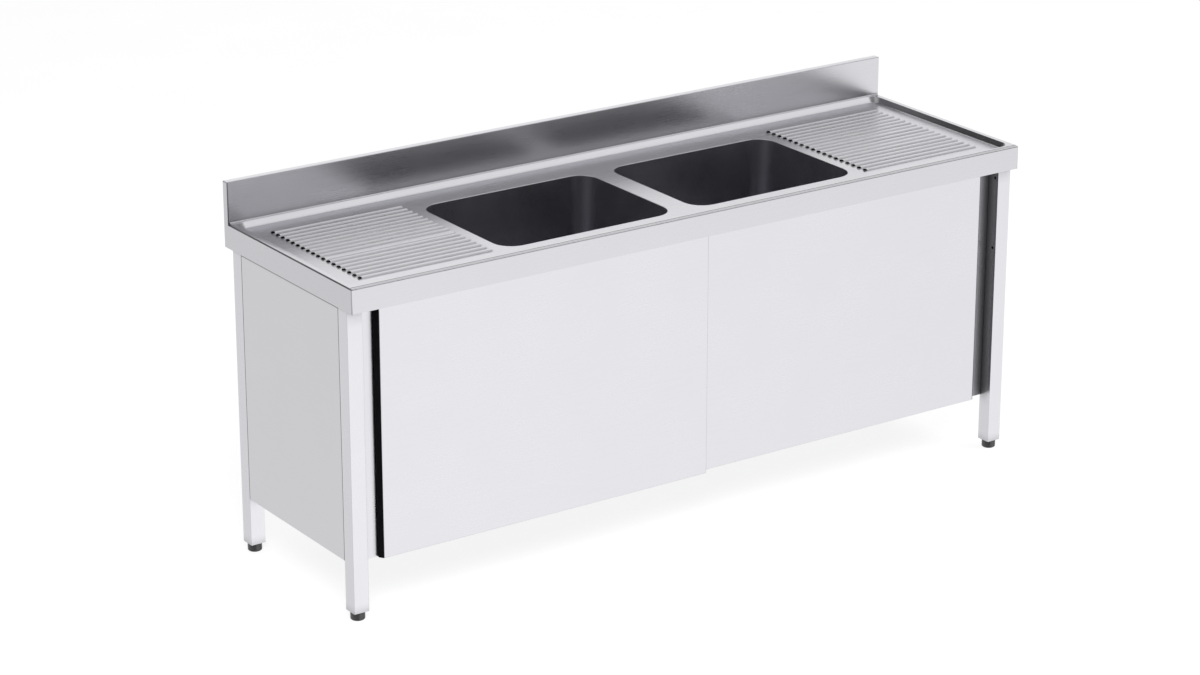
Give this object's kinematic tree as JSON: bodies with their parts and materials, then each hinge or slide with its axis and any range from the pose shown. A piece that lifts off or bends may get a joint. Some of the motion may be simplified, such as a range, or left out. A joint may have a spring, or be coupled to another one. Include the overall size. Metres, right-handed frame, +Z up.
{
  "type": "kitchen sink unit",
  "caption": "Stainless steel sink cabinet with deep bowls between ribbed drainers, an upstand at the back, square legs on screw feet and sliding doors that hang from rollers.",
  "frame": {"origin": "on the floor, under the middle of the unit", "axes": "+X along the unit to the right as seen from the front, +Y towards the wall behind it, +Z up"},
  "size_m": [2, 0.6, 0.95],
  "materials": {
    "worktop_steel": "satin, brushed along the length",
    "bowl_steel": "satin, drawn",
    "panel_steel": "fine satin",
    "galvanised_steel": "dull zinc",
    "drain_chrome": "polished",
    "foot_plastic": "moulded, slightly glossy",
    "edge_plastic": "matt extrusion",
    "rubber": "matt",
    "nylon": "moulded"
  },
  "bodies": {
    "root": {"worktop": "worktop_steel", "left_bowl": "bowl_steel", "right_bowl": "bowl_steel", "left_drain_body": "drain_chrome", "right_drain_body": "drain_chrome", "left_drain_gasket": "rubber", "right_drain_gasket": "rubber", "left_drain_locknut": "nylon", "right_drain_locknut": "nylon", "left_drainer_stiffener": "galvanised_steel", "right_drainer_stiffener": "galvanised_steel", "left_side_panel": "panel_steel", "right_side_panel": "panel_steel", "left_door_jamb": "panel_steel", "right_door_jamb": "panel_steel", "front_left_leg": "panel_steel", "front_right_leg": "panel_steel", "back_left_leg": "panel_steel", "back_right_leg": "panel_steel", "front_left_leg_insert": "nylon", "front_right_leg_insert": "nylon", "back_left_leg_insert": "nylon", "back_right_leg_insert": "nylon", "front_rail": "galvanised_steel", "back_rail": "galvanised_steel", "back_panel": "panel_steel", "base_shelf": "panel_steel", "shelf_stiffener": "galvanised_steel", "top_track": "galvanised_steel", "door_guide": "nylon", "left_door_shut_stop": "rubber", "right_door_shut_stop": "rubber", "left_door_open_stop": "rubber", "right_door_open_stop": "rubber"},
    "left_door": {"left_door_outer_skin": "panel_steel", "left_door_inner_skin": "panel_steel", "left_door_edge_profile": "edge_plastic", "left_door_outer_hanger": "galvanised_steel", "left_door_inner_hanger": "galvanised_steel"},
    "right_door": {"right_door_outer_skin": "panel_steel", "right_door_inner_skin": "panel_steel", "right_door_edge_profile": "edge_plastic", "right_door_outer_hanger": "galvanised_steel", "right_door_inner_hanger": "galvanised_steel"},
    "left_outer_roller": {"left_door_outer_roller": "nylon"},
    "left_inner_roller": {"left_door_inner_roller": "nylon"},
    "right_outer_roller": {"right_door_outer_roller": "nylon"},
    "right_inner_roller": {"right_door_inner_roller": "nylon"},
    "left_plug": {"left_drain_plug": "drain_chrome"},
    "right_plug": {"right_drain_plug": "drain_chrome"},
    "foot_front_left": {"front_left_foot": "foot_plastic"},
    "foot_front_right": {"front_right_foot": "foot_plastic"},
    "foot_back_left": {"back_left_foot": "foot_plastic"},
    "foot_back_right": {"back_right_foot": "foot_plastic"}
  },
  "joints": [
    {"name": "left_door_slide", "type": "slide", "parent": "root", "child": "left_door", "axis": [1, 0, 0], "range_m": [0, 0.876]},
    {"name": "right_door_slide", "type": "slide", "parent": "root", "child": "right_door", "axis": [-1, 0, 0], "range_m": [0, 0.876]},
    {"name": "left_outer_roller_spin", "type": "hinge", "parent": "left_door", "child": "left_outer_roller", "pos_m": [-0.8103, -0.2719, 0.8055], "axis": [0, 1, 0], "continuous": true},
    {"name": "left_inner_roller_spin", "type": "hinge", "parent": "left_door", "child": "left_inner_roller", "pos_m": [-0.0708, -0.2719, 0.8055], "axis": [0, 1, 0], "continuous": true},
    {"name": "right_outer_roller_spin", "type": "hinge", "parent": "right_door", "child": "right_outer_roller", "pos_m": [0.8103, -0.2534, 0.8055], "axis": [0, 1, 0], "continuous": true},
    {"name": "right_inner_roller_spin", "type": "hinge", "parent": "right_door", "child": "right_inner_roller", "pos_m": [0.0708, -0.2534, 0.8055], "axis": [0, 1, 0], "continuous": true},
    {"name": "left_plug_lift", "type": "slide", "parent": "root", "child": "left_plug", "axis": [0, 0, 1], "range_m": [0, 0.3]},
    {"name": "right_plug_lift", "type": "slide", "parent": "root", "child": "right_plug", "axis": [0, 0, 1], "range_m": [0, 0.3]},
    {"name": "front_left_foot_screw", "type": "slide", "parent": "root", "child": "foot_front_left", "axis": [0, 0, -1], "range_m": [0, 0.025]},
    {"name": "front_right_foot_screw", "type": "slide", "parent": "root", "child": "foot_front_right", "axis": [0, 0, -1], "range_m": [0, 0.025]},
    {"name": "back_left_foot_screw", "type": "slide", "parent": "root", "child": "foot_back_left", "axis": [0, 0, -1], "range_m": [0, 0.025]},
    {"name": "back_right_foot_screw", "type": "slide", "parent": "root", "child": "foot_back_right", "axis": [0, 0, -1], "range_m": [0, 0.025]}
  ],
  "couplings": [
    {"joint": "left_outer_roller_spin", "follows": "left_door_slide", "rad_per_m": 100},
    {"joint": "left_inner_roller_spin", "follows": "left_door_slide", "rad_per_m": 100},
    {"joint": "right_outer_roller_spin", "follows": "right_door_slide", "rad_per_m": -100},
    {"joint": "right_inner_roller_spin", "follows": "right_door_slide", "rad_per_m": -100}
  ]
}
